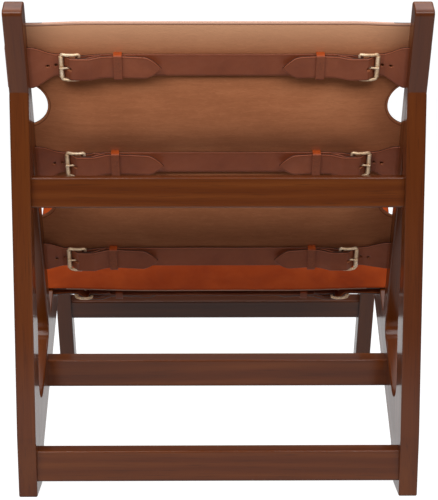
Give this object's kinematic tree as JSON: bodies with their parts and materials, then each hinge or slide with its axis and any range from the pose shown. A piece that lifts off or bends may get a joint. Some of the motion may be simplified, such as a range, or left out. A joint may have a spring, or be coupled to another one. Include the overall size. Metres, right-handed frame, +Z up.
{
  "type": "sling lounge chair",
  "caption": "Low reclined lounge chair with a timber side frame each side, cross rails, and leather back and seat slings buckled tight behind by belts.",
  "frame": {"origin": "on the floor, under the middle of the chair's box", "axes": "+X to the sitter's right, +Y to the chair's front, +Z up"},
  "size_m": [0.6086, 0.7706, 0.736],
  "materials": {
    "timber": "satin",
    "hide": "matte",
    "belt": "satin",
    "keeper": "satin",
    "brass": "satin"
  },
  "bodies": {
    "root": {"left_back_upright": "timber", "left_rear_leg": "timber", "left_seat_rail": "timber", "left_front_leg": "timber", "right_back_upright": "timber", "right_rear_leg": "timber", "right_seat_rail": "timber", "right_front_leg": "timber", "back_rail": "timber", "rear_stretcher": "timber", "middle_stretcher": "timber", "front_stretcher": "timber", "frame_dowels": "timber", "back_hide": "hide", "seat_hide": "hide", "cross_belt_1": "belt", "cross_belt_2": "belt", "cross_belt_3": "belt", "cross_belt_4": "belt", "cross_belt_5": "belt", "keepers_1": "keeper", "keepers_2": "keeper", "keepers_3": "keeper", "keepers_4": "keeper", "keepers_5": "keeper"},
    "buckle_right_1": {"buckle_frame_right_1": "brass"},
    "roller_right_1": {"buckle_roller_right_1": "brass"},
    "prong_right_1": {"buckle_prong_right_1": "brass"},
    "buckle_left_1": {"buckle_frame_left_1": "brass"},
    "roller_left_1": {"buckle_roller_left_1": "brass"},
    "prong_left_1": {"buckle_prong_left_1": "brass"},
    "buckle_right_2": {"buckle_frame_right_2": "brass"},
    "roller_right_2": {"buckle_roller_right_2": "brass"},
    "prong_right_2": {"buckle_prong_right_2": "brass"},
    "buckle_left_2": {"buckle_frame_left_2": "brass"},
    "roller_left_2": {"buckle_roller_left_2": "brass"},
    "prong_left_2": {"buckle_prong_left_2": "brass"},
    "buckle_right_3": {"buckle_frame_right_3": "brass"},
    "roller_right_3": {"buckle_roller_right_3": "brass"},
    "prong_right_3": {"buckle_prong_right_3": "brass"},
    "buckle_left_3": {"buckle_frame_left_3": "brass"},
    "roller_left_3": {"buckle_roller_left_3": "brass"},
    "prong_left_3": {"buckle_prong_left_3": "brass"},
    "buckle_right_4": {"buckle_frame_right_4": "brass"},
    "roller_right_4": {"buckle_roller_right_4": "brass"},
    "prong_right_4": {"buckle_prong_right_4": "brass"},
    "buckle_left_4": {"buckle_frame_left_4": "brass"},
    "roller_left_4": {"buckle_roller_left_4": "brass"},
    "prong_left_4": {"buckle_prong_left_4": "brass"},
    "buckle_right_5": {"buckle_frame_right_5": "brass"},
    "roller_right_5": {"buckle_roller_right_5": "brass"},
    "prong_right_5": {"buckle_prong_right_5": "brass"},
    "buckle_left_5": {"buckle_frame_left_5": "brass"},
    "roller_left_5": {"buckle_roller_left_5": "brass"},
    "prong_left_5": {"buckle_prong_left_5": "brass"}
  },
  "joints": [
    {"name": "buckle_tilt_right_1", "type": "hinge", "parent": "root", "child": "buckle_right_1", "pos_m": [0.2028, -0.31798, 0.64329], "axis": [0, 0.4679, -0.8838], "range_deg": [0, 5]},
    {"name": "roller_spin_right_1", "type": "hinge", "parent": "buckle_right_1", "child": "roller_right_1", "pos_m": [0.2288, -0.3171, 0.64376], "axis": [0, 0.4679, -0.8838], "continuous": true},
    {"name": "prong_lift_right_1", "type": "hinge", "parent": "buckle_right_1", "child": "prong_right_1", "pos_m": [0.2028, -0.31798, 0.64329], "axis": [0, 0.4679, -0.8838], "range_deg": [0, 5.5]},
    {"name": "buckle_tilt_left_1", "type": "hinge", "parent": "root", "child": "buckle_left_1", "pos_m": [-0.1992, -0.31798, 0.64329], "axis": [0, -0.4679, 0.8838], "range_deg": [0, 5]},
    {"name": "roller_spin_left_1", "type": "hinge", "parent": "buckle_left_1", "child": "roller_left_1", "pos_m": [-0.2252, -0.3171, 0.64376], "axis": [0, -0.4679, 0.8838], "continuous": true},
    {"name": "prong_lift_left_1", "type": "hinge", "parent": "buckle_left_1", "child": "prong_left_1", "pos_m": [-0.1992, -0.31798, 0.64329], "axis": [0, -0.4679, 0.8838], "range_deg": [0, 5.5]},
    {"name": "buckle_tilt_right_2", "type": "hinge", "parent": "root", "child": "buckle_right_2", "pos_m": [0.2018, -0.23914, 0.49437], "axis": [0, 0.4679, -0.8838], "range_deg": [0, 5]},
    {"name": "roller_spin_right_2", "type": "hinge", "parent": "buckle_right_2", "child": "roller_right_2", "pos_m": [0.2278, -0.23825, 0.49484], "axis": [0, 0.4679, -0.8838], "continuous": true},
    {"name": "prong_lift_right_2", "type": "hinge", "parent": "buckle_right_2", "child": "prong_right_2", "pos_m": [0.2018, -0.23914, 0.49437], "axis": [0, 0.4679, -0.8838], "range_deg": [0, 5.5]},
    {"name": "buckle_tilt_left_2", "type": "hinge", "parent": "root", "child": "buckle_left_2", "pos_m": [-0.2002, -0.23914, 0.49437], "axis": [0, -0.4679, 0.8838], "range_deg": [0, 5]},
    {"name": "roller_spin_left_2", "type": "hinge", "parent": "buckle_left_2", "child": "roller_left_2", "pos_m": [-0.2262, -0.23825, 0.49484], "axis": [0, -0.4679, 0.8838], "continuous": true},
    {"name": "prong_lift_left_2", "type": "hinge", "parent": "buckle_left_2", "child": "prong_left_2", "pos_m": [-0.2002, -0.23914, 0.49437], "axis": [0, -0.4679, 0.8838], "range_deg": [0, 5.5]},
    {"name": "buckle_tilt_right_3", "type": "hinge", "parent": "root", "child": "buckle_right_3", "pos_m": [0.194, -0.15458, 0.33468], "axis": [0, 0.4679, -0.8838], "range_deg": [0, 5]},
    {"name": "roller_spin_right_3", "type": "hinge", "parent": "buckle_right_3", "child": "roller_right_3", "pos_m": [0.22, -0.1537, 0.33515], "axis": [0, 0.4679, -0.8838], "continuous": true},
    {"name": "prong_lift_right_3", "type": "hinge", "parent": "buckle_right_3", "child": "prong_right_3", "pos_m": [0.194, -0.15458, 0.33468], "axis": [0, 0.4679, -0.8838], "range_deg": [0, 5.5]},
    {"name": "buckle_tilt_left_3", "type": "hinge", "parent": "root", "child": "buckle_left_3", "pos_m": [-0.208, -0.15458, 0.33468], "axis": [0, -0.4679, 0.8838], "range_deg": [0, 5]},
    {"name": "roller_spin_left_3", "type": "hinge", "parent": "buckle_left_3", "child": "roller_left_3", "pos_m": [-0.234, -0.1537, 0.33515], "axis": [0, -0.4679, 0.8838], "continuous": true},
    {"name": "prong_lift_left_3", "type": "hinge", "parent": "buckle_left_3", "child": "prong_left_3", "pos_m": [-0.208, -0.15458, 0.33468], "axis": [0, -0.4679, 0.8838], "range_deg": [0, 5.5]},
    {"name": "buckle_tilt_right_4", "type": "hinge", "parent": "root", "child": "buckle_right_4", "pos_m": [0.193, -0.01871, 0.25966], "axis": [0, 0.8171, 0.5764], "range_deg": [0, 5]},
    {"name": "roller_spin_right_4", "type": "hinge", "parent": "buckle_right_4", "child": "roller_right_4", "pos_m": [0.219, -0.01929, 0.26048], "axis": [0, 0.8171, 0.5764], "continuous": true},
    {"name": "prong_lift_right_4", "type": "hinge", "parent": "buckle_right_4", "child": "prong_right_4", "pos_m": [0.193, -0.01871, 0.25966], "axis": [0, 0.8171, 0.5764], "range_deg": [0, 5.5]},
    {"name": "buckle_tilt_left_4", "type": "hinge", "parent": "root", "child": "buckle_left_4", "pos_m": [-0.209, -0.01871, 0.25966], "axis": [0, -0.8171, -0.5764], "range_deg": [0, 5]},
    {"name": "roller_spin_left_4", "type": "hinge", "parent": "buckle_left_4", "child": "roller_left_4", "pos_m": [-0.235, -0.01929, 0.26048], "axis": [0, -0.8171, -0.5764], "continuous": true},
    {"name": "prong_lift_left_4", "type": "hinge", "parent": "buckle_left_4", "child": "prong_left_4", "pos_m": [-0.209, -0.01871, 0.25966], "axis": [0, -0.8171, -0.5764], "range_deg": [0, 5.5]},
    {"name": "buckle_tilt_right_5", "type": "hinge", "parent": "root", "child": "buckle_right_5", "pos_m": [0.193, 0.13082, 0.36515], "axis": [0, 0.8171, 0.5764], "range_deg": [0, 5]},
    {"name": "roller_spin_right_5", "type": "hinge", "parent": "buckle_right_5", "child": "roller_right_5", "pos_m": [0.219, 0.13025, 0.36597], "axis": [0, 0.8171, 0.5764], "continuous": true},
    {"name": "prong_lift_right_5", "type": "hinge", "parent": "buckle_right_5", "child": "prong_right_5", "pos_m": [0.193, 0.13082, 0.36515], "axis": [0, 0.8171, 0.5764], "range_deg": [0, 5.5]},
    {"name": "buckle_tilt_left_5", "type": "hinge", "parent": "root", "child": "buckle_left_5", "pos_m": [-0.209, 0.13082, 0.36515], "axis": [0, -0.8171, -0.5764], "range_deg": [0, 5]},
    {"name": "roller_spin_left_5", "type": "hinge", "parent": "buckle_left_5", "child": "roller_left_5", "pos_m": [-0.235, 0.13025, 0.36597], "axis": [0, -0.8171, -0.5764], "continuous": true},
    {"name": "prong_lift_left_5", "type": "hinge", "parent": "buckle_left_5", "child": "prong_left_5", "pos_m": [-0.209, 0.13082, 0.36515], "axis": [0, -0.8171, -0.5764], "range_deg": [0, 5.5]}
  ]
}
